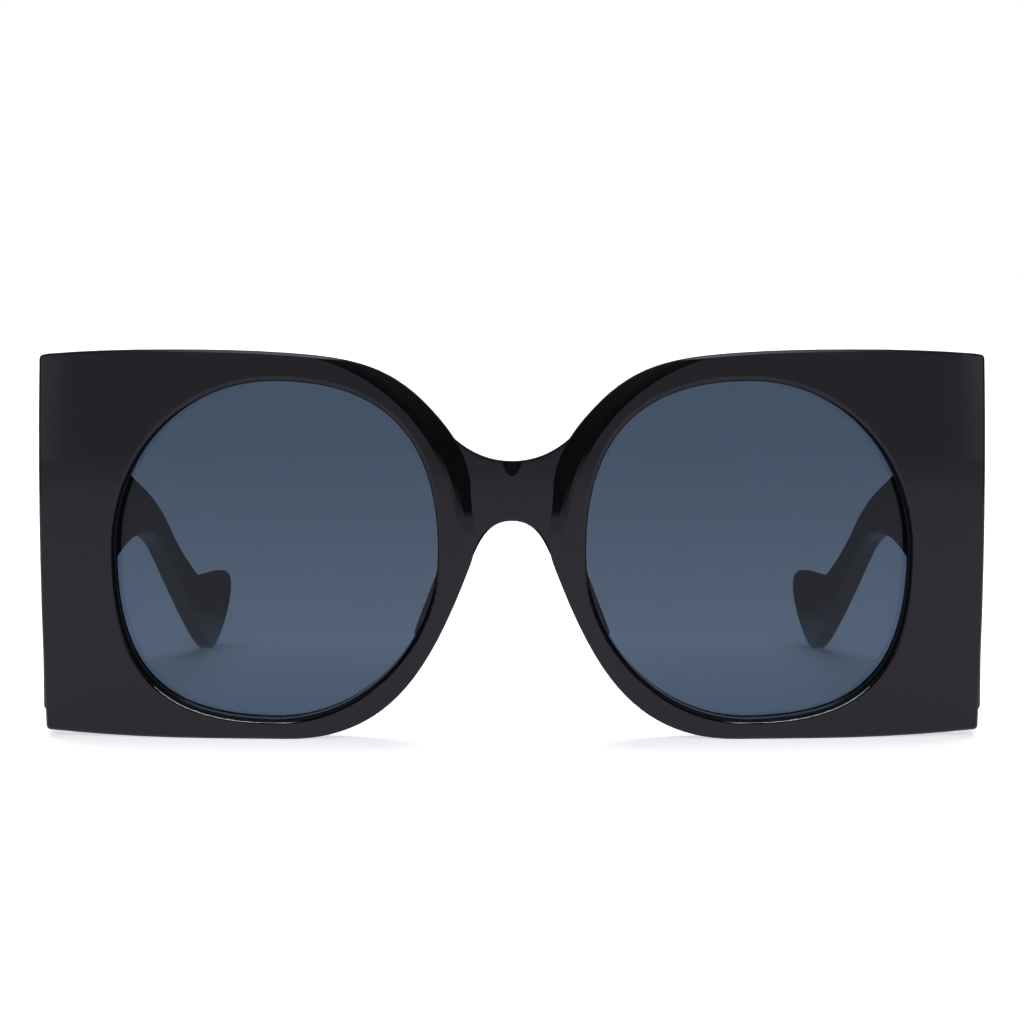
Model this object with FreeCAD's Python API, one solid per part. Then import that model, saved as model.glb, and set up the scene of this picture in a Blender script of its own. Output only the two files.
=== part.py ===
import FreeCAD, Part
import os
from math import atan2, cos, degrees, radians, sin, sqrt

# Oversized square sunglasses: a moulded front whose rims slope down to a low bridge, two tinted
# lenses, two nose pads, and two tall temples that fold on five-knuckle metal hinges.
# Millimetres. X runs across the face to the wearer's left, Y from the front to the temple tips,
# Z up. The origin lies on the resting plane, at the middle of the width and of the depth.
# Depths are measured backwards from the foremost point of the front until the last step.

Vector = FreeCAD.Vector

# Lens openings and rims
LENS_WIDTH = 51.7
LENS_HEIGHT = 53.9
LENS_GAP = 23.5
RIM_BELOW = 3.2
RIM_ABOVE = 4.9
END_PIECE = 12.1
FRONT_DEPTH = 6.2
FRONT_RADIUS = 520.0

# Fullness of the four lens corners, where 0.552 is an ellipse
FULL_UPPER_OUTER = 0.57
FULL_LOWER_OUTER = 0.72
FULL_LOWER_INNER = 0.54
FULL_UPPER_INNER = 0.67

# Outline of the front: brow, side, foot and nose side
BROW_CREST_OUT = 16.9
BROW_EASE_IN = 1.6
BROW_EASE_DROP = 0.5
BROW_EASE_SLOPE = 4.0
BROW_TURN_IN = 26.2
BROW_TURN_DROP = 11.1
BROW_SLOPE = 50.0
CORNER_DROP = 0.8
CORNER_TUCK = 0.15
CORNER_FALL = 5.0
CORNER_RADIUS = 0.8
SIDE_BULGE_HEIGHT = 40.0
SIDE_FOOT_RISE = 1.1
SIDE_FOOT_TUCK = 0.8
SIDE_FOOT_SLOPE = 5.0
SIDE_FOOT_RADIUS = 0.7
FOOT_OUT = 4.4
FOOT_LENGTH = 12.0
NOSE_RIM = 5.2
NOSE_TOP = 40.0
FLANK_TOP = 28.1
FLANK_SLOPE = 69.0

# How far a curve keeps the direction of its ends, as a part of the distance between them
PULL_TIGHT = 0.12
PULL_SHORT = 0.25
PULL_EVEN = 0.34
PULL_LONG = 0.42
PULL_FULL = 0.5

# Slope of each rim towards the brow and the bridge
SLOPE_BAND = 3.3
SLOPE_TOP_MARGIN = 0.25
SLOPE_SPREAD = 4.85
SLOPE_ANGLE = 28.0
SLOPE_STEPS = 3
SLOPE_STEP_WIDTH = 0.6

# Edges of the front
EDGE_BEVEL = 0.3
BACK_BEVEL = 0.5
OPENING_ROUND = 0.8
OPENING_BACK_BEVEL = 0.3

# Bridge
BRIDGE_BASE = 34.9
BRIDGE_HEIGHT = 9.4
BRIDGE_RECESS = 1.9
BRIDGE_BACK_INSET = 0.6
BRIDGE_BURY = 0.7
ARCH_START = 24.0
ARCH_BURY = 0.1
NOTCH_WIDTH = 3.3
NOTCH_DROP = 2.2
NOTCH_DEPTH = 0.8

# Lenses in their grooves
LENS_SETBACK = 3.2
LENS_THICKNESS = 2.0
GROOVE_DEPTH = 0.9
LENS_CLEARANCE = 0.05

# Nose pads
PAD_LENGTH = 15.0
PAD_WIDTH = 4.0
PAD_HEIGHT = 6.0
PAD_SPLAY = 0.5
PAD_WAIST_SHARE = 0.78
PAD_WAIST_SCALE = 0.76
PAD_END_SCALE = 0.55
PAD_RISE = 21.5
PAD_INSET = 0.7
PAD_SINK = 0.7
BOND_GAP = 0.02

# Temples
TEMPLE_THICKNESS = 4.2
TIP_THICKNESS = 2.7
TEMPLE_STAND_OUT = 0.45
TEMPLE_BOW = 12.8
TEMPLE_TOP_INSET = 2.8
TEMPLE_TOP_FALL = 6.0
TEMPLE_BOTTOM_INSET = 0.8
TEMPLE_BOTTOM_RISE = 18.0
TEMPLE_ROUND = 0.7
BUTT_GAP = 0.15
NECK_TO_TIP = 52.5
NECK_BASE = 26.5
NECK_HEIGHT = 9.2
NECK_FALL = 15.0
DROP_TO_TIP = 31.6
DROP_MIDDLE = 23.9
DROP_WIDTH = 6.0
DROP_ANGLE = 33.0
TIP_DEPTH = 138.5
HOOK_TOP = 14.8
HOOK_NOTCH = 8.0
NOTCH_RUN = 6.0
NOTCH_FALL = 25.0
HEEL_LENGTH = 13.0
HEEL_DROP = 3.4
HEEL_ROUND = 5.0

# Hinges
HINGE_DROP = 20.0
HINGE_OFFSET = 2.2
KNUCKLE_COUNT = 5
KNUCKLE_HEIGHT = 1.5
KNUCKLE_GAP = 0.08
KNUCKLE_RADIUS = 1.4
SCREW_RADIUS = 0.7
SCREW_CLEARANCE = 0.05
SCREW_HEAD_RADIUS = 1.25
SCREW_HEAD_HEIGHT = 0.6
SCREW_SLOT = 0.3
LEAF_THICKNESS = 1.0
LEAF_SUNK = 0.5
LEAF_CLEARANCE = 0.05
LEAF_ROUND = 0.8
FRONT_LEAF_WIDTH = 6.6
FRONT_LEAF_HEIGHT = 16.0
TEMPLE_LEAF_LENGTH = 15.0
PEDESTAL_WIDTH = 2.2
RIVET_RADIUS = 0.6
RIVET_HEAD_RADIUS = 1.0
RIVET_HEAD_HEIGHT = 0.35
RIVET_REACH = 2.2
RIVET_SPACING = 11.0
TEMPLE_RIVET_SPACING = 6.0

# Working lengths: one that passes right through, one within which points count as touching,
# and the tilt of a normal below which a face counts as an upright wall
THROUGH = 60.0
TOUCH = 0.01
UPRIGHT = 0.05

# Sizes that follow from the ones above
LENS_MIDDLE_X = LENS_GAP / 2 + LENS_WIDTH / 2
SLOPE_RADIUS = LENS_WIDTH / 2 + SLOPE_SPREAD
LENS_TOP = RIM_BELOW + LENS_HEIGHT
LENS_MIDDLE_Z = RIM_BELOW + LENS_HEIGHT / 2
FRAME_HEIGHT = LENS_TOP + RIM_ABOVE
HINGE_HEIGHT = FRAME_HEIGHT - HINGE_DROP
HALF_WIDTH = LENS_GAP / 2 + LENS_WIDTH + END_PIECE
BRIDGE_TOP = BRIDGE_BASE + BRIDGE_HEIGHT
NOSE_X = LENS_GAP / 2 - NOSE_RIM
BACK_RADIUS = FRONT_RADIUS - FRONT_DEPTH
CENTRE = Vector(0, FRONT_RADIUS, FRAME_HEIGHT / 2)
OVERALL_DEPTH = TIP_DEPTH + HEEL_LENGTH
NECK_DEPTH = TIP_DEPTH - NECK_TO_TIP
DROP_DEPTH = TIP_DEPTH - DROP_TO_TIP
HINGE_STACK = KNUCKLE_COUNT * KNUCKLE_HEIGHT + (KNUCKLE_COUNT - 1) * KNUCKLE_GAP
TEMPLE_OUTER_X = HALF_WIDTH + TEMPLE_STAND_OUT
TEMPLE_INNER_X = TEMPLE_OUTER_X - TEMPLE_THICKNESS


def surface_depth(radius, x, z):
    """Depth of a sphere about the common centre of curvature, at a place on the front."""
    rise = z - CENTRE.z
    return FRONT_RADIUS - sqrt(radius ** 2 - x ** 2 - rise ** 2)


HINGE_X = TEMPLE_INNER_X - HINGE_OFFSET
HINGE_DEPTH = surface_depth(BACK_RADIUS, HINGE_X, HINGE_HEIGHT) + HINGE_OFFSET
TEMPLE_START = surface_depth(BACK_RADIUS, TEMPLE_INNER_X, HINGE_HEIGHT)


# Curves and small helpers

def on_front(x, z):
    """A point of an outline that is drawn as seen from the front."""
    return Vector(x, 0, z)


def on_side(depth, z):
    """A point of an outline that is drawn as seen from the side."""
    return Vector(0, depth, z)


def heading(angle, place):
    """A step of one millimetre at an angle above the first axis of an outline."""
    return place(cos(radians(angle)), sin(radians(angle)))


def bezier(points):
    curve = Part.BezierCurve()
    curve.setPoles(points)
    return curve.toShape()


def bend(place, start, start_angle, end, end_angle, start_pull=PULL_EVEN, end_pull=PULL_EVEN):
    """A smooth curve from start to end, leaving and arriving at the given angles."""
    first = place(*start)
    last = place(*end)
    span = (last - first).Length
    leaving = first + heading(start_angle, place) * span * start_pull
    arriving = last - heading(end_angle, place) * span * end_pull
    return bezier([first, leaving, arriving, last])


def straight(place, start, end):
    return Part.LineSegment(place(*start), place(*end)).toShape()


def ball(radius):
    return Part.makeSphere(radius, CENTRE)


def shell_between(outer, inner):
    """The curved layer between two depths behind the front surface."""
    return ball(FRONT_RADIUS - outer).cut(ball(FRONT_RADIUS - inner))


def prism(edges, direction, back):
    """Extrude a closed outline along a direction, starting some way back."""
    face = Part.Face(Part.Wire(Part.__sortEdges__(edges)))
    solid = face.extrude(direction)
    solid.translate(direction.normalize() * -back)
    return solid


def mirrored(shape):
    return shape.mirror(Vector(0, 0, 0), Vector(1, 0, 0))


def edge_middle(edge):
    return edge.valueAt((edge.FirstParameter + edge.LastParameter) / 2)


def edges_where(shape, test):
    return [edge for edge in shape.Edges if test(edge_middle(edge))]


def on_ball(radius):
    """A test for points that lie on a sphere about the common centre of curvature."""
    return lambda point: abs((point - CENTRE).Length - radius) < TOUCH


def depth_tilt(face, point):
    """How far a face looks backwards at a point: -1 to the front, 0 sideways, 1 to the back."""
    return face.normalAt(*face.Surface.parameter(point)).y


def wall_edges(shape, facing):
    """The edges between an upright wall and a face that looks to the front (-1) or the back (1)."""
    chosen = []
    for edge in shape.Edges:
        tilts = [depth_tilt(face, edge_middle(edge)) for face in shape.ancestorsOfType(edge, Part.Face)]
        beside_wall = min(abs(tilt) for tilt in tilts) < UPRIGHT
        if beside_wall and max(tilt * facing for tilt in tilts) > UPRIGHT:
            chosen.append(edge)
    return chosen


# Front frame

def lens_outline(grow):
    """The lens opening on the wearer's left, grown outwards by a given width."""
    inner = LENS_GAP / 2 - grow
    outer = LENS_GAP / 2 + LENS_WIDTH + grow
    top = LENS_TOP + grow
    bottom = RIM_BELOW - grow

    def quadrant(side_x, end_z, full):
        return bezier([
            on_front(side_x, LENS_MIDDLE_Z),
            on_front(side_x, LENS_MIDDLE_Z + (end_z - LENS_MIDDLE_Z) * full),
            on_front(LENS_MIDDLE_X + (side_x - LENS_MIDDLE_X) * full, end_z),
            on_front(LENS_MIDDLE_X, end_z),
        ])

    return [
        quadrant(outer, top, FULL_UPPER_OUTER),
        quadrant(inner, top, FULL_UPPER_INNER),
        quadrant(inner, bottom, FULL_LOWER_INNER),
        quadrant(outer, bottom, FULL_LOWER_OUTER),
    ]


def lens_prism(grow):
    return prism(lens_outline(grow), Vector(0, THROUGH, 0), THROUGH / 2)


BROW_TURN = (LENS_MIDDLE_X - BROW_TURN_IN, FRAME_HEIGHT - BROW_TURN_DROP)
BROW_EASE = (LENS_MIDDLE_X - BROW_EASE_IN, FRAME_HEIGHT - BROW_EASE_DROP)
NOSE_UPPER = (NOSE_X, NOSE_TOP)
NOSE_LOWER = (NOSE_X, FLANK_TOP)


def flank_x(height):
    """How far the straight nose side of a rim lies from the middle, below its top."""
    return NOSE_X + (FLANK_TOP - height) / sin(radians(FLANK_SLOPE)) * cos(radians(FLANK_SLOPE))


def rim_outline():
    """One half of the front without the bridge: brow, side, foot and nose side."""
    crest = (LENS_MIDDLE_X + BROW_CREST_OUT, FRAME_HEIGHT)
    corner = (HALF_WIDTH - CORNER_TUCK, FRAME_HEIGHT - CORNER_DROP)
    side_foot = (HALF_WIDTH - SIDE_FOOT_TUCK, SIDE_FOOT_RISE)
    foot_outer = (LENS_MIDDLE_X + FOOT_OUT + FOOT_LENGTH / 2, 0)
    foot_inner = (LENS_MIDDLE_X + FOOT_OUT - FOOT_LENGTH / 2, 0)
    bulge = on_front(HALF_WIDTH, SIDE_BULGE_HEIGHT)
    flank = 180 - FLANK_SLOPE
    return [
        bend(on_front, NOSE_UPPER, 90, BROW_TURN, BROW_SLOPE),
        bend(on_front, BROW_TURN, BROW_SLOPE, BROW_EASE, BROW_EASE_SLOPE, PULL_LONG, PULL_LONG),
        bend(on_front, BROW_EASE, BROW_EASE_SLOPE, crest, 0),
        bend(on_front, crest, 0, corner, -CORNER_FALL),
        Part.Arc(on_front(*corner), bulge, on_front(*side_foot)).toShape(),
        bend(on_front, side_foot, 180 + SIDE_FOOT_SLOPE, foot_outer, 180),
        straight(on_front, foot_outer, foot_inner),
        bend(on_front, foot_inner, 180, NOSE_LOWER, flank, PULL_LONG, PULL_LONG),
        bend(on_front, NOSE_LOWER, flank, NOSE_UPPER, 90),
    ]


def rim_slab():
    """One half of the front as a curved slab with rounded outer corners."""
    block = prism(rim_outline(), Vector(0, THROUGH, 0), THROUGH / 2)
    for tuck, radius in ((CORNER_TUCK, CORNER_RADIUS), (SIDE_FOOT_TUCK, SIDE_FOOT_RADIUS)):
        corner_x = HALF_WIDTH - tuck
        corner = edges_where(block, lambda p: abs(p.x - corner_x) < TOUCH and abs(p.y) < TOUCH)
        block = block.makeFillet(radius, corner)
    return block.common(shell_between(0, FRONT_DEPTH)).Solids[0]


def sloped(rim):
    """Let the front of a rim fall away, outside a circle, towards the brow and the bridge.

    The fall steepens in steps. Each step is a dome on one axis, and starts on a wider circle.
    """
    radius = SLOPE_RADIUS
    circle_x = LENS_GAP / 2 - SLOPE_BAND + radius
    circle_z = FRAME_HEIGHT - SLOPE_TOP_MARGIN - radius
    crown = Vector(circle_x, surface_depth(FRONT_RADIUS, circle_x, circle_z), circle_z)
    axis = (crown - CENTRE).normalize()
    height = sqrt(FRONT_RADIUS ** 2 - radius ** 2)
    beside = Part.makeBox(circle_x, THROUGH, 2 * FRAME_HEIGHT, Vector(0, -THROUGH / 2, -FRAME_HEIGHT / 2))
    for step in range(1, SLOPE_STEPS + 1):
        steepness = radians(SLOPE_ANGLE * step / SLOPE_STEPS) + atan2(SLOPE_RADIUS, FRONT_RADIUS)
        dome_radius = radius / sin(steepness)
        reach = height - dome_radius * cos(steepness)
        rim = rim.cut(beside.cut(Part.makeSphere(dome_radius, CENTRE + axis * reach))).Solids[0]
        radius += SLOPE_STEP_WIDTH
        height = reach + sqrt(dome_radius ** 2 - radius ** 2)
    return rim


def rim_body():
    """One rim with bevelled edges and its slope, but no opening yet."""
    slab = rim_slab()
    slab = slab.makeChamfer(EDGE_BEVEL, wall_edges(slab, -1))
    slab = slab.makeChamfer(BACK_BEVEL, wall_edges(slab, 1))
    return sloped(slab)


def bridge_body():
    """The bridge between the rims, set back from their faces and buried in both."""
    valley = (0, BRIDGE_TOP)
    turn = (BROW_TURN[0] + BRIDGE_BURY, BROW_TURN[1])
    flank = (flank_x(ARCH_START) + ARCH_BURY, ARCH_START)
    arch = (0, BRIDGE_BASE)
    half = [
        bend(on_front, valley, 0, turn, BROW_SLOPE, PULL_EVEN, PULL_LONG),
        straight(on_front, turn, flank),
        bend(on_front, flank, 180 - FLANK_SLOPE, arch, 180, PULL_FULL, PULL_EVEN),
    ]
    block = prism(half + [mirrored(edge) for edge in half], Vector(0, THROUGH, 0), THROUGH / 2)
    slab = block.common(shell_between(BRIDGE_RECESS, FRONT_DEPTH - BRIDGE_BACK_INSET)).Solids[0]

    def open_edges(facing):
        return [edge for edge in wall_edges(slab, facing) if min(v.X for v in edge.Vertexes) < TOUCH
                and max(v.X for v in edge.Vertexes) > -TOUCH]

    slab = slab.makeChamfer(EDGE_BEVEL, open_edges(-1))
    slab = slab.makeChamfer(BACK_BEVEL, open_edges(1))
    return slab.cut(bridge_notch())


def bridge_notch():
    """A round groove that runs out down the face of the bridge from the middle of its top edge."""
    radius = (NOTCH_WIDTH / 2) ** 2 / (2 * NOTCH_DEPTH) + NOTCH_DEPTH / 2
    along = Vector(0, NOTCH_DEPTH, NOTCH_DROP).normalize()
    run_out = Vector(0, BRIDGE_RECESS - radius, BRIDGE_TOP - NOTCH_DROP)
    return Part.makeCylinder(radius, THROUGH, run_out - along * THROUGH / 2, along)


def leaf_places(spacing):
    """The two places along a hinge leaf where its rivets sit."""
    return (-spacing / 2, spacing / 2)


def front_leaf_frame(shape):
    """Move a shape drawn flat on the back of the end piece to its place there.

    It is drawn with X outwards from the middle of the leaf, Y backwards from the plastic
    surface and Z up from the middle of the hinge.
    """
    middle_x = HINGE_X + KNUCKLE_RADIUS - FRONT_LEAF_WIDTH / 2
    lean = degrees(atan2(middle_x, sqrt(BACK_RADIUS ** 2 - middle_x ** 2)))
    placed = shape.copy()
    placed.rotate(Vector(0, 0, 0), Vector(0, 0, 1), lean)
    depth = surface_depth(BACK_RADIUS, middle_x, HINGE_HEIGHT)
    placed.translate(Vector(middle_x, depth, HINGE_HEIGHT))
    return placed


def temple_leaf_frame(shape):
    """Move a shape drawn flat on the inner face of the temple to its place there.

    It is drawn with X inwards from the plastic surface, Y backwards from the hinge axis and
    Z up from the middle of the hinge.
    """
    placed = mirrored(shape)
    placed.translate(Vector(TEMPLE_INNER_X, HINGE_DEPTH, HINGE_HEIGHT))
    return placed


def rounded_plate(width, thickness, height, axis):
    """A thin plate centred on the origin, rounded at the four edges along an axis."""
    plate = Part.makeBox(width, thickness, height, Vector(-width / 2, -thickness / 2, -height / 2))

    def along(edge):
        return edge.tangentAt(edge.FirstParameter).cross(axis).Length < TOUCH

    return plate.makeFillet(LEAF_ROUND, [edge for edge in plate.Edges if along(edge)])


def front_plate(grow):
    """The plate of the front hinge leaf, or the pocket for it when grown."""
    plate = rounded_plate(FRONT_LEAF_WIDTH + 2 * grow, LEAF_THICKNESS + grow,
                          FRONT_LEAF_HEIGHT + 2 * grow, Vector(0, 1, 0))
    plate.translate(Vector(0, LEAF_THICKNESS / 2 - LEAF_SUNK - grow / 2, 0))
    return plate


def temple_plate(grow):
    """The plate of the temple hinge leaf, or the pocket for it when grown."""
    plate = rounded_plate(LEAF_THICKNESS + grow, TEMPLE_LEAF_LENGTH + 2 * grow,
                          HINGE_STACK + 2 * grow, Vector(1, 0, 0))
    plate.translate(Vector(LEAF_THICKNESS / 2 - LEAF_SUNK - grow / 2,
                           TEMPLE_LEAF_LENGTH / 2 - PEDESTAL_WIDTH / 2, 0))
    return plate


def rivet(direction, radius):
    """The shank of one rivet, along a direction that points out of the plastic."""
    top = direction * (LEAF_THICKNESS - LEAF_SUNK)
    reach = LEAF_THICKNESS + RIVET_REACH
    return Part.makeCylinder(radius, reach, top - direction * reach, direction)


def headed_rivet(direction):
    """One whole rivet, with a bevelled head on the outer face of its leaf."""
    top = direction * (LEAF_THICKNESS - LEAF_SUNK)
    head = Part.makeCylinder(RIVET_HEAD_RADIUS, RIVET_HEAD_HEIGHT, top, direction)
    rim = edges_where(head, lambda p: abs((p - top).dot(direction) - RIVET_HEAD_HEIGHT) < TOUCH)
    bevelled = head.makeChamfer(RIVET_HEAD_HEIGHT / 2, rim)
    return rivet(direction, RIVET_RADIUS).fuse(bevelled).removeSplitter()


def on_front_leaf(single):
    """Two copies of a rivet or rivet hole at their places on the front leaf."""
    inward = KNUCKLE_RADIUS - FRONT_LEAF_WIDTH / 2 + RIVET_HEAD_RADIUS
    return [front_leaf_frame(single.translated(Vector(inward, 0, rise)))
            for rise in leaf_places(RIVET_SPACING)]


def on_temple_leaf(single):
    """Two copies of a rivet or rivet hole at their places on the temple leaf."""
    middle = TEMPLE_LEAF_LENGTH - PEDESTAL_WIDTH / 2 - RIVET_HEAD_RADIUS * 2 - TEMPLE_RIVET_SPACING / 2
    return [temple_leaf_frame(single.translated(Vector(0, middle + along, 0)))
            for along in leaf_places(TEMPLE_RIVET_SPACING)]


BACKWARDS = Vector(0, 1, 0)
INWARDS = Vector(1, 0, 0)
FRONT_RIVET_HOLES = on_front_leaf(rivet(BACKWARDS, RIVET_RADIUS + BOND_GAP))
TEMPLE_RIVET_HOLES = on_temple_leaf(rivet(INWARDS, RIVET_RADIUS + BOND_GAP))


def opened(rim):
    """Cut the lens opening through a rim, round its front edge and bevel its back edge."""
    rim = rim.cut(lens_prism(0)).Solids[0]
    inside = lens_prism(EDGE_BEVEL)

    def opening_edges(radius):
        surface = on_ball(radius)
        return edges_where(rim, lambda p: surface(p) and inside.isInside(p, TOUCH, True))

    rim = rim.makeFillet(OPENING_ROUND, opening_edges(FRONT_RADIUS))
    return rim.makeChamfer(OPENING_BACK_BEVEL, opening_edges(BACK_RADIUS))


def front_frame():
    """The whole front: two rims and the bridge, with openings, grooves and hinge pockets."""
    groove = shell_between(LENS_SETBACK - LENS_CLEARANCE, LENS_SETBACK + LENS_THICKNESS + LENS_CLEARANCE)
    rim = opened(rim_body()).cut(groove.common(lens_prism(GROOVE_DEPTH)))
    rim = rim.cut([front_leaf_frame(front_plate(LEAF_CLEARANCE)), *FRONT_RIVET_HOLES])
    return rim.fuse([mirrored(rim), bridge_body()]).removeSplitter()


def lens():
    layer = shell_between(LENS_SETBACK, LENS_SETBACK + LENS_THICKNESS)
    return layer.common(lens_prism(GROOVE_DEPTH - LENS_CLEARANCE))


# Nose pads

def nose_pad():
    """A pad that splays outwards and narrows from the back of the nose side of the rim."""
    lean = 90 - FLANK_SLOPE
    base_x = flank_x(PAD_RISE) + PAD_WIDTH / 2 + PAD_INSET
    base_depth = surface_depth(BACK_RADIUS, base_x, PAD_RISE) - PAD_SINK
    sections = []
    for share, scale in ((0, 1), (PAD_WAIST_SHARE, PAD_WAIST_SCALE), (1, PAD_END_SCALE)):
        section = slot_outline(PAD_WIDTH * scale, PAD_LENGTH * scale)
        section.rotate(Vector(0, 0, 0), Vector(0, 1, 0), -lean)
        section.translate(Vector(base_x + PAD_SPLAY * share, base_depth + PAD_HEIGHT * share, PAD_RISE))
        sections.append(section)
    return Part.makeLoft(sections, True, True).common(ball(BACK_RADIUS - BOND_GAP))


def slot_outline(width, length):
    """An upright slot shape with round ends, centred on the origin."""
    half = width / 2
    end = length / 2 - half
    upper = Part.Arc(on_front(half, end), on_front(0, end + half), on_front(-half, end)).toShape()
    lower = Part.Arc(on_front(-half, -end), on_front(0, -end - half), on_front(half, -end)).toShape()
    left = straight(on_front, (-half, end), (-half, -end))
    right = straight(on_front, (half, -end), (half, end))
    return Part.Wire([upper, left, lower, right])


# Temples

def temple_profile():
    """The temple as seen from the side: tall at the hinge, an arched neck, an ear drop and a hook."""
    start = TEMPLE_START - FRONT_DEPTH
    top_front = (start, FRAME_HEIGHT - TEMPLE_TOP_INSET)
    bottom_front = (start, TEMPLE_BOTTOM_INSET)
    neck_top = (NECK_DEPTH, NECK_BASE + NECK_HEIGHT)
    neck_bottom = (NECK_DEPTH, NECK_BASE)
    half_run = DROP_WIDTH / 2 * sin(radians(DROP_ANGLE))
    half_rise = DROP_WIDTH / 2 * cos(radians(DROP_ANGLE))
    drop_top = (DROP_DEPTH + half_run, DROP_MIDDLE + half_rise)
    drop_bottom = (DROP_DEPTH - half_run, DROP_MIDDLE - half_rise)
    notch_depth = TIP_DEPTH - HOOK_NOTCH
    notch_rise = NOTCH_RUN / 2 * sin(radians(NOTCH_FALL)) / cos(radians(NOTCH_FALL))
    notch_front = (notch_depth - NOTCH_RUN / 2, HOOK_TOP + notch_rise)
    notch_back = (notch_depth + NOTCH_RUN / 2, HOOK_TOP)
    hook_end = (OVERALL_DEPTH - HEEL_ROUND, HOOK_TOP)
    heel = (OVERALL_DEPTH, HOOK_TOP - HEEL_DROP)
    tip = (TIP_DEPTH, 0)
    return [
        bend(on_side, top_front, -TEMPLE_TOP_FALL, neck_top, -NECK_FALL),
        bend(on_side, neck_top, -NECK_FALL, drop_top, -DROP_ANGLE),
        bend(on_side, drop_top, -DROP_ANGLE, notch_front, -NOTCH_FALL),
        bend(on_side, notch_front, -NOTCH_FALL, notch_back, 0, PULL_LONG, PULL_LONG),
        straight(on_side, notch_back, hook_end),
        bend(on_side, hook_end, 0, heel, -90, PULL_LONG, PULL_LONG),
        bend(on_side, heel, -90, tip, 180, PULL_SHORT, PULL_SHORT),
        bend(on_side, tip, 180, drop_bottom, 180 - DROP_ANGLE, PULL_TIGHT, PULL_EVEN),
        bend(on_side, drop_bottom, 180 - DROP_ANGLE, neck_bottom, 180),
        bend(on_side, neck_bottom, 180, bottom_front, 180 + TEMPLE_BOTTOM_RISE),
        straight(on_side, bottom_front, top_front),
    ]


def temple_plan():
    """The temple as seen from above: a thin band that bows inwards and tapers to the tip."""
    ends = (TEMPLE_START - 2 * FRONT_DEPTH, TIP_DEPTH + 2 * HEEL_LENGTH)
    places = (ends[0], sum(ends) / 2, ends[1])

    def side(face_x, bow):
        shares = [(depth - TEMPLE_START) / (TIP_DEPTH - TEMPLE_START) for depth in places]
        return [Vector(face_x - bow * share ** 2, depth, 0) for share, depth in zip(shares, places)]

    outer = side(TEMPLE_OUTER_X, TEMPLE_BOW + TEMPLE_THICKNESS - TIP_THICKNESS)
    inner = side(TEMPLE_INNER_X, TEMPLE_BOW)
    caps = [Part.LineSegment(inner[end], outer[end]).toShape() for end in (0, -1)]
    return [Part.Arc(*outer).toShape(), Part.Arc(*inner).toShape(), *caps]


def temple():
    side = prism(temple_profile(), Vector(2 * HALF_WIDTH, 0, 0), 0)
    plan = prism(temple_plan(), Vector(0, 0, 2 * FRAME_HEIGHT), FRAME_HEIGHT / 2)
    butt_radius = BACK_RADIUS - BUTT_GAP
    arm = side.common(plan).common(ball(butt_radius)).Solids[0]
    butt = on_ball(butt_radius)

    def long_edge(edge):
        along = edge.tangentAt((edge.FirstParameter + edge.LastParameter) / 2)
        return not butt(edge_middle(edge)) and abs(along.x) < 1 - TOUCH

    arm = arm.makeFillet(TEMPLE_ROUND, [edge for edge in arm.Edges if long_edge(edge)])
    return arm.cut([temple_leaf_frame(temple_plate(LEAF_CLEARANCE)), *TEMPLE_RIVET_HOLES])


# Hinges

def knuckle_base(number):
    return HINGE_HEIGHT - HINGE_STACK / 2 + number * (KNUCKLE_HEIGHT + KNUCKLE_GAP)


def knuckles(numbers, pedestal):
    """The chosen knuckles of the stack, each joined by a pedestal to its leaf."""
    pieces = []
    for number in numbers:
        base = Vector(HINGE_X, HINGE_DEPTH, knuckle_base(number))
        barrel = Part.makeCylinder(KNUCKLE_RADIUS, KNUCKLE_HEIGHT, base)
        pieces.append(barrel.fuse(pedestal(base)))
    return pieces


def bored(leaf):
    """Drill the screw hole through a finished leaf."""
    foot = Vector(HINGE_X, HINGE_DEPTH, HINGE_HEIGHT - HINGE_STACK)
    hole = Part.makeCylinder(SCREW_RADIUS + SCREW_CLEARANCE, 2 * HINGE_STACK, foot)
    return leaf.cut(hole).removeSplitter()


PEDESTAL_DROP = HINGE_OFFSET - LEAF_THICKNESS / 2 + LEAF_SUNK


def front_hinge():
    def pedestal(base):
        corner = base - Vector(PEDESTAL_WIDTH / 2, PEDESTAL_DROP, 0)
        return Part.makeBox(PEDESTAL_WIDTH, PEDESTAL_DROP, KNUCKLE_HEIGHT, corner)

    plate = front_leaf_frame(front_plate(0)).cut(FRONT_RIVET_HOLES)
    return bored(plate.fuse(knuckles(range(0, KNUCKLE_COUNT, 2), pedestal)))


def temple_hinge():
    def pedestal(base):
        corner = base - Vector(0, PEDESTAL_WIDTH / 2, 0)
        return Part.makeBox(PEDESTAL_DROP, PEDESTAL_WIDTH, KNUCKLE_HEIGHT, corner)

    plate = temple_leaf_frame(temple_plate(0)).cut(TEMPLE_RIVET_HOLES)
    return bored(plate.fuse(knuckles(range(1, KNUCKLE_COUNT, 2), pedestal)))


def hinge_screw():
    """The slotted screw that pins the knuckles together."""
    foot = Vector(HINGE_X, HINGE_DEPTH, HINGE_HEIGHT - HINGE_STACK / 2)
    head_base = foot + Vector(0, 0, HINGE_STACK)
    shank = Part.makeCylinder(SCREW_RADIUS, HINGE_STACK, foot)
    head = Part.makeCylinder(SCREW_HEAD_RADIUS, SCREW_HEAD_HEIGHT, head_base)
    slot_corner = head_base + Vector(-SCREW_HEAD_RADIUS, -SCREW_SLOT / 2, SCREW_HEAD_HEIGHT / 2)
    slot = Part.makeBox(2 * SCREW_HEAD_RADIUS, SCREW_SLOT, SCREW_HEAD_HEIGHT, slot_corner)
    return shank.fuse(head.cut(slot)).removeSplitter()


# Assembly: each piece is drawn on the wearer's left and mirrored to the right

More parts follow.
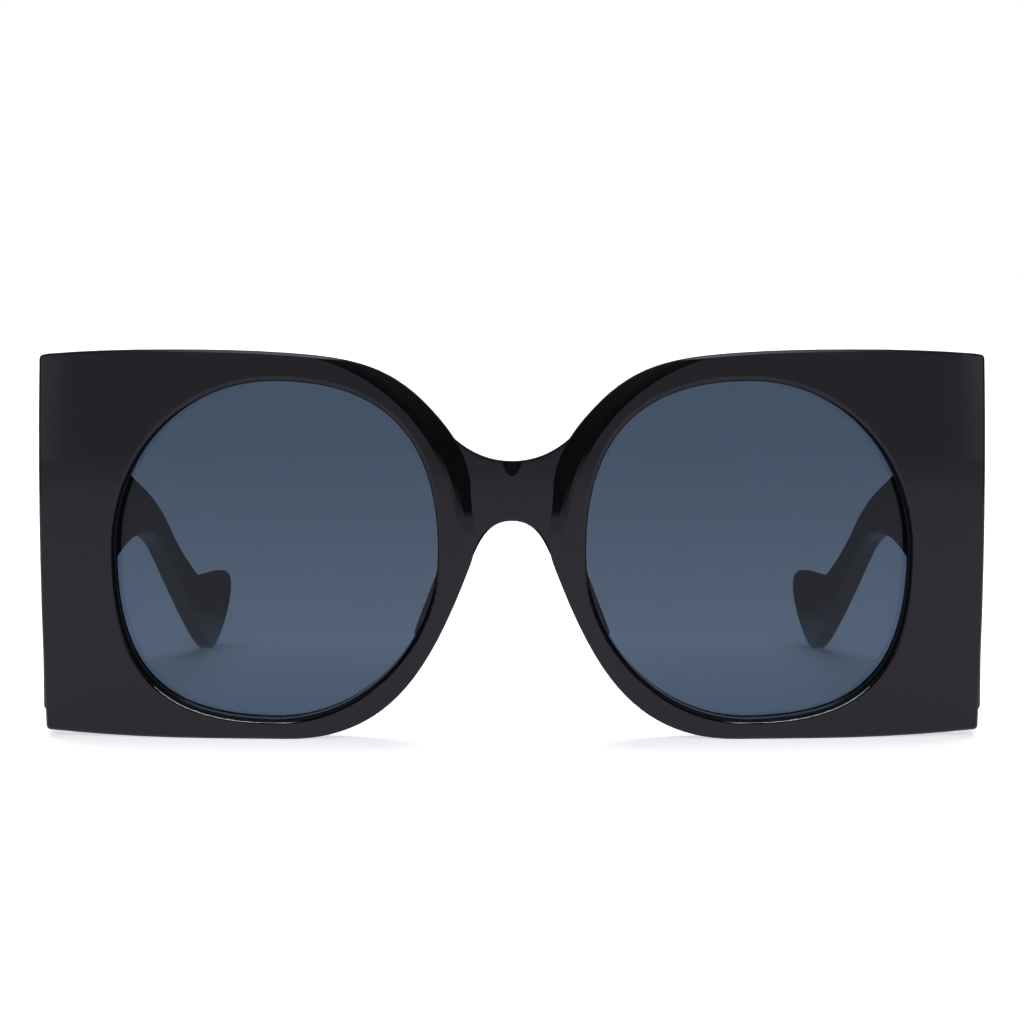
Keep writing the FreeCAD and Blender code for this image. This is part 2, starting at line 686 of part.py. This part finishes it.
def export(name, shape):
    """Write one piece, with the origin moved from the foremost point to the middle of the depth."""
    centred = shape.translated(Vector(0, -OVERALL_DEPTH / 2, 0))
    centred.exportStep(os.path.join("parts", name + ".step"))


PAIRED = {
    "lens": lens(),
    "nose_pad": nose_pad(),
    "temple": temple(),
    "front_hinge": front_hinge(),
    "temple_hinge": temple_hinge(),
    "hinge_screw": hinge_screw(),
    "front_rivets": Part.makeCompound(on_front_leaf(headed_rivet(BACKWARDS))),
    "temple_rivets": Part.makeCompound(on_temple_leaf(headed_rivet(INWARDS))),
}

os.makedirs("parts", exist_ok=True)
export("front_frame", front_frame())
for name, shape in PAIRED.items():
    export("left_" + name, shape)
    export("right_" + name, mirrored(shape))
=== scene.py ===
from math import cos, radians, sin

import bpy
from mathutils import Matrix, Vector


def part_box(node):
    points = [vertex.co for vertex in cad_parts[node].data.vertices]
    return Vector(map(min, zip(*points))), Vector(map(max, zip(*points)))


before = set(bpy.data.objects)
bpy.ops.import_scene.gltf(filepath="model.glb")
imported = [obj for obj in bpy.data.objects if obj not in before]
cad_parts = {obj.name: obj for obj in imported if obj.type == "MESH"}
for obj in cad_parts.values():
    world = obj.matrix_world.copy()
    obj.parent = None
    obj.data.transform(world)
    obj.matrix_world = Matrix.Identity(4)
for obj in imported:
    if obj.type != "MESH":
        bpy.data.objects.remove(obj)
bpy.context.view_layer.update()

# Oversized square sunglasses on a white table, seen from the front.
# Metres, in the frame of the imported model: X to the wearer's left, Y backwards, Z up.
# A pair of numbers holds the two ends of a range over which something changes.

# Camera, with its pitch in degrees and its lens and sensor in millimetres
CAMERA_DISTANCE = 0.557
CAMERA_HEIGHT = 0.0748
CAMERA_PITCH = 3.935
CAMERA_LENS = 124.1
SENSOR_WIDTH = 36.0

# Table: the grey of its paint and the strength of its glow, by the kind of ray
TABLE_SIZE = 40.0
PAINT_SEEN = 1.0
PAINT_MIRRORED = 0.06
PAINT_ELSEWHERE = 0.8
GLOW_TO_CAMERA = 0.66
GLOW_THROUGH_LENS = 0.333
GLOW_MIRRORED = (0.44, 0.65)
GLOW_DEPTH = (-3.0, -0.3)
GLOW_BEHIND = (0.08, 0.14)
WHITE = (1.0, 1.0, 1.0, 1.0)
COOL_WHITE = (0.95, 0.95, 1.10, 1.0)

# Walls: strengths, and places as the X, Y or Z of a direction of length 1
WALL_LIGHT = 0.385
WALL_TOP = (0.10, 0.17)
WALL_SIDE = (0.42, 0.62)
WALL_BACK = (-0.2, 0.2)
SIDE_LIGHT = 0.50
SIDE_TOP = (0.05, 0.09)
ABOVE_LIGHT = (0.05, 0.18)
ABOVE_RISE = (0.45, 0.85)

# Lamps, given in the same way
PANEL_LIGHT = 4.4
PANEL_TILT = radians(25.0)
PANEL_EDGE = (0.906, 0.94)
STRIP_LIGHT = 24.0
STRIP_RISE = 0.45
STRIP_HEIGHT = (0.02, 0.035)
STRIP_WIDTH = (0.22, 0.28)
BAND_LIGHT = 0.6
BAND_INNER = (0.385, 0.415)
BAND_OUTER = (0.43, 0.47)
BAND_TOP = (0.14, 0.22)

# Black plastic
PLASTIC_DARK = (0.0018, 0.0018, 0.0022, 1.0)
PLASTIC_LIGHT = (0.0036, 0.0036, 0.0042, 1.0)
PLASTIC_GLOSS = (0.030, 0.060)
PLASTIC_INDEX = 1.5
CLOUD_SCALE = 35.0
GRAIN_SCALE = 900.0
RIPPLE_SCALE = 55.0
RIPPLE_HEIGHT = 0.00002
POLISHED_SHINE = 0.5
# The outer walls of the lens openings are rougher, and their lowered shine is painted shade that makes them
# read dark
SHADED_SHINE = 0.1
DULL_GLOSS = 0.5
OUTER_FADE = 0.005
TURNED = (-0.5, -0.3)

# Tinted lens, with painted shade at its foot
# The foot colour is the lens tint darkened by painted shade, where the front shades what is seen through the
# lens
FOOT_TINT_AND_SHADE = (0.0520, 0.0845, 0.1250, 1.0)
TINT_LOW = (0.0650, 0.0980, 0.1370, 1.0)
TINT_MIDDLE = (0.0480, 0.0726, 0.1028, 1.0)
TINT_HIGH = (0.0438, 0.0663, 0.0955, 1.0)
TINT_LOW_STEP = 0.22
TINT_MIDDLE_STEP = 0.62
LENS_INDEX = 1.40
LENS_GLOSS = 0.0

# Hinge metals
LEAF_DARK = (0.42, 0.41, 0.40, 1.0)
LEAF_LIGHT = (0.62, 0.61, 0.60, 1.0)
LEAF_GLOSS = (0.24, 0.40)
SCREW_DARK = (0.66, 0.65, 0.64, 1.0)
SCREW_LIGHT = (0.80, 0.79, 0.78, 1.0)
SCREW_GLOSS = (0.10, 0.22)
BRUSH_SCALE = 900.0
BRUSH_STRETCH = (1.0, 1.0, 0.04)


# Node helpers

def add(tree, kind, inputs=(), **settings):
    """Add a node, with its settings and the values or links of its named inputs."""
    node = tree.nodes.new(kind)
    for name, value in settings.items():
        setattr(node, name, value)
    for name, value in dict(inputs).items():
        if isinstance(value, bpy.types.NodeSocket):
            tree.links.new(value, node.inputs[name])
        else:
            node.inputs[name].default_value = value
    return node


def emptied(owner):
    """The node tree of a material or world, with nothing in it yet."""
    owner.use_nodes = True
    owner.node_tree.nodes.clear()
    return owner.node_tree


def calculated(tree, operation, first, *others):
    """The result of one kind of calculation on some values, taken one after another."""
    for other in others:
        first = add(tree, "ShaderNodeMath", {0: first, 1: other}, operation=operation).outputs["Value"]
    return first


def sum_of(tree, *values):
    return calculated(tree, "ADD", *values)


def product(tree, *values):
    return calculated(tree, "MULTIPLY", *values)


def size_of(tree, value):
    return add(tree, "ShaderNodeMath", {0: value}, operation="ABSOLUTE").outputs["Value"]


def sign_of(tree, value):
    return add(tree, "ShaderNodeMath", {0: value}, operation="SIGN").outputs["Value"]


def mix(tree, factor, first, second):
    return add(tree, "ShaderNodeMix", {"Factor": factor, "A": first, "B": second}).outputs["Result"]


def between(tree, value, low, high, start=0.0, end=1.0):
    """Spread a value that runs from start to end over the numbers from low to high."""
    inputs = {"Value": value, "From Min": start, "From Max": end, "To Min": low, "To Max": high}
    return add(tree, "ShaderNodeMapRange", inputs).outputs["Result"]


def blend_colours(tree, value, colours):
    """Turn a value from 0 to 1 into a colour, given the colours at some of its steps."""
    ramp = add(tree, "ShaderNodeValToRGB", {"Fac": value})
    stops = ramp.color_ramp.elements
    stops.remove(stops[1])
    for step, colour in colours.items():
        stops.new(step).color = colour
    stops.remove(stops[0])
    return ramp.outputs["Color"]


def parts_of(tree, vector):
    return add(tree, "ShaderNodeSeparateXYZ", {"Vector": vector}).outputs


def object_space(tree):
    """The place of a point in its own object's space."""
    return add(tree, "ShaderNodeTexCoord").outputs["Object"]


def noise(tree, scale, stretch=(1.0, 1.0, 1.0)):
    """A soft random value from 0 to 1 in the object's own space, with a scale per metre."""
    place = object_space(tree)
    mapped = add(tree, "ShaderNodeMapping", {"Vector": place, "Scale": stretch}).outputs["Vector"]
    return add(tree, "ShaderNodeTexNoise", {"Vector": mapped, "Scale": scale}).outputs["Fac"]


# Materials

def opening_edge(tree):
    """1 on the outer edges and walls of the lens openings, which face the nose and get painted shade; 0
    elsewhere.
    """
    low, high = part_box("left_lens")
    middle = (low.x + high.x) / 2.0
    across = parts_of(tree, object_space(tree))["X"]
    outer = between(tree, size_of(tree, across), 0.0, 1.0, middle - OUTER_FADE, middle + OUTER_FADE)
    normal = parts_of(tree, add(tree, "ShaderNodeNewGeometry").outputs["Normal"])["X"]
    turned = between(tree, product(tree, sign_of(tree, across), normal), 1.0, 0.0, *TURNED)
    return product(tree, outer, turned)


def black_plastic(name, has_openings):
    """Polished black plastic: faint clouding, a hand-polished ripple and fine wear in the gloss."""
    material = bpy.data.materials.new(name)
    tree = emptied(material)
    dulled_and_shaded = opening_edge(tree) if has_openings else 0.0
    ripple = add(tree, "ShaderNodeBump", {
        "Height": noise(tree, RIPPLE_SCALE),
        "Distance": RIPPLE_HEIGHT,
    })
    shader = add(tree, "ShaderNodeBsdfPrincipled", {
        "Base Color": blend_colours(tree, noise(tree, CLOUD_SCALE), {0.0: PLASTIC_DARK, 1.0: PLASTIC_LIGHT}),
        "Roughness": mix(tree, dulled_and_shaded, between(tree, noise(tree, GRAIN_SCALE), *PLASTIC_GLOSS), DULL_GLOSS),
        # On the opening walls the shine is cut: painted shade that darkens them
        "Specular IOR Level": mix(tree, dulled_and_shaded, POLISHED_SHINE, SHADED_SHINE),
        "IOR": PLASTIC_INDEX,
        "Normal": ripple.outputs["Normal"],
    })
    add(tree, "ShaderNodeOutputMaterial", {"Surface": shader.outputs["BSDF"]})
    return material


def lens_tint(lens):
    """Clear blue-grey lens, palest low down and tinted deeper towards the brow; its darker foot is painted
    shade.
    """
    material = bpy.data.materials.new("lens_tint")
    tree = emptied(material)
    low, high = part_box(lens)
    rise = between(tree, parts_of(tree, object_space(tree))["Z"], 0.0, 1.0, low.z, high.z)
    # The foot stop darkens the lens with painted shade; the other stops are its tint
    tints_and_foot_shade = {0.0: FOOT_TINT_AND_SHADE, TINT_LOW_STEP: TINT_LOW, TINT_MIDDLE_STEP: TINT_MIDDLE, 1.0: TINT_HIGH}
    shader = add(tree, "ShaderNodeBsdfPrincipled", {
        "Base Color": blend_colours(tree, rise, tints_and_foot_shade),
        "Roughness": LENS_GLOSS,
        "IOR": LENS_INDEX,
        "Transmission Weight": 1.0,
    })
    add(tree, "ShaderNodeOutputMaterial", {"Surface": shader.outputs["BSDF"]})
    return material


def brushed_metal(name, dark, light, gloss):
    """Metal with fine upright brush marks in its colour and gloss."""
    material = bpy.data.materials.new(name)
    tree = emptied(material)
    brush = noise(tree, BRUSH_SCALE, BRUSH_STRETCH)
    shader = add(tree, "ShaderNodeBsdfPrincipled", {
        "Base Color": blend_colours(tree, brush, {0.0: dark, 1.0: light}),
        "Roughness": between(tree, brush, *gloss),
        "Metallic": 1.0,
    })
    add(tree, "ShaderNodeOutputMaterial", {"Surface": shader.outputs["BSDF"]})
    return material


def dress(nodes):
    """Give each piece its material, by what the piece is."""
    front = black_plastic("black_plastic_front", has_openings=True)
    plastic = black_plastic("black_plastic", has_openings=False)
    tint_and_foot_shade = lens_tint("left_lens")
    leaf = brushed_metal("hinge_metal", LEAF_DARK, LEAF_LIGHT, LEAF_GLOSS)
    screw = brushed_metal("screw_metal", SCREW_DARK, SCREW_LIGHT, SCREW_GLOSS)
    finishes = {
        "front_frame": front,
        "nose_pad": plastic,
        "temple": plastic,
        "lens": tint_and_foot_shade,
        "front_hinge": leaf,
        "temple_hinge": leaf,
        "hinge_screw": screw,
        "front_rivets": screw,
        "temple_rivets": screw,
    }
    for name, piece in nodes.items():
        kind = name.removeprefix("left_").removeprefix("right_")
        for slot in piece.material_slots:
            slot.material = finishes[kind]


# Surroundings

def by_ray(tree, camera, through, mirrored, other):
    """A value for each kind of ray: from the camera, through a lens, mirrored in the object, or other."""
    path = add(tree, "ShaderNodeLightPath").outputs
    value = mix(tree, path["Is Glossy Ray"], other, mirrored)
    value = mix(tree, path["Is Transmission Ray"], value, through)
    return mix(tree, path["Is Camera Ray"], value, camera)


def mirrored_glow(tree):
    """How bright the table is in the object's own gloss: palest just in front of it, dark behind it."""
    depth = parts_of(tree, object_space(tree))["Y"]
    light = between(tree, depth, *GLOW_MIRRORED, *GLOW_DEPTH)
    return product(tree, light, between(tree, depth, 1.0, 0.0, *GLOW_BEHIND))


def table_white():
    """White to the camera and through the lenses, dimmer in the object's gloss; it keeps the shadows."""
    material = bpy.data.materials.new("table_white")
    tree = emptied(material)
    grey = by_ray(tree, PAINT_SEEN, PAINT_SEEN, PAINT_MIRRORED, PAINT_ELSEWHERE)
    paint = add(tree, "ShaderNodeBsdfDiffuse", {"Color": grey})
    cool = by_ray(tree, 0.0, 0.0, 1.0, 0.0)
    glow = add(tree, "ShaderNodeEmission", {
        "Color": blend_colours(tree, cool, {0.0: WHITE, 1.0: COOL_WHITE}),
        "Strength": by_ray(tree, GLOW_TO_CAMERA, GLOW_THROUGH_LENS, mirrored_glow(tree), 0.0),
    })
    both = add(tree, "ShaderNodeAddShader", {0: glow.outputs["Emission"], 1: paint.outputs["BSDF"]})
    add(tree, "ShaderNodeOutputMaterial", {"Surface": both.outputs["Shader"]})
    return material


def table():
    bpy.ops.mesh.primitive_plane_add(size=TABLE_SIZE)
    plane = bpy.context.object
    plane.name = "table"
    plane.data.materials.append(table_white())


def in_front(tree, parts):
    """1 for directions in front of the object, easing to 0 behind it."""
    return between(tree, parts["Y"], 1.0, 0.0, *WALL_BACK)


def walls(tree, parts):
    """A pale wall in front, lower at its sides, under a dark that eases off upwards."""
    ahead = between(tree, size_of(tree, parts["X"]), 1.0, 0.0, *WALL_SIDE)
    side = between(tree, parts["Z"], SIDE_LIGHT, 0.0, *SIDE_TOP)
    middle = between(tree, parts["Z"], WALL_LIGHT, 0.0, *WALL_TOP)
    above = between(tree, parts["Z"], *ABOVE_LIGHT, *ABOVE_RISE)
    return sum_of(tree, above, product(tree, in_front(tree, parts), mix(tree, ahead, side, middle)))


def panel(tree, direction):
    """A round bright panel overhead, a little behind the object."""
    middle = (0.0, sin(PANEL_TILT), cos(PANEL_TILT))
    nearness = add(tree, "ShaderNodeVectorMath", {0: direction, 1: middle}, operation="DOT_PRODUCT")
    return between(tree, nearness.outputs["Value"], 0.0, PANEL_LIGHT, *PANEL_EDGE)


def strip(tree, parts):
    """A narrow bright strip high in front, which lights the lower edges of the lens openings."""
    offset = size_of(tree, sum_of(tree, parts["Z"], -STRIP_RISE))
    height = between(tree, offset, STRIP_LIGHT, 0.0, *STRIP_HEIGHT)
    width = between(tree, size_of(tree, parts["X"]), 1.0, 0.0, *STRIP_WIDTH)
    return product(tree, height, width, in_front(tree, parts))


def side_bands(tree, parts):
    """A soft upright band on the wall at each side, which lights the outer ends of the front."""
    across = size_of(tree, parts["X"])
    inner = between(tree, across, 0.0, 1.0, *BAND_INNER)
    outer = between(tree, across, 1.0, 0.0, *BAND_OUTER)
    height = between(tree, parts["Z"], BAND_LIGHT, 0.0, *BAND_TOP)
    return product(tree, height, inner, outer, in_front(tree, parts))


def surroundings():
    """White to the camera and through the lenses; for every other ray, the walls and the lamps."""
    world = bpy.data.worlds.new("studio")
    bpy.context.scene.world = world
    tree = emptied(world)
    direction = add(tree, "ShaderNodeTexCoord").outputs["Generated"]
    parts = parts_of(tree, direction)
    lamps = sum_of(tree, panel(tree, direction), strip(tree, parts), side_bands(tree, parts))
    seen = by_ray(tree, 1.0, 1.0, 0.0, 0.0)
    background = add(tree, "ShaderNodeBackground", {
        "Color": blend_colours(tree, seen, {0.0: COOL_WHITE, 1.0: WHITE}),
        "Strength": mix(tree, seen, sum_of(tree, walls(tree, parts), lamps), 1.0),
    })
    add(tree, "ShaderNodeOutputWorld", {"Surface": background.outputs["Background"]})


def camera():
    """A camera before the middle of the front, looking a little down; turned 90 degrees, it looks level."""
    data = bpy.data.cameras.new("camera")
    data.lens = CAMERA_LENS
    data.sensor_width = SENSOR_WIDTH
    eye = bpy.data.objects.new("camera", data)
    eye.location = (0.0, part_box("front_frame")[0].y - CAMERA_DISTANCE, CAMERA_HEIGHT)
    eye.rotation_euler = (radians(90.0 - CAMERA_PITCH), 0.0, 0.0)
    bpy.context.scene.collection.objects.link(eye)
    bpy.context.scene.camera = eye


dress(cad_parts)
table()
surroundings()
camera()
bpy.context.scene.view_settings.view_transform = "Standard"
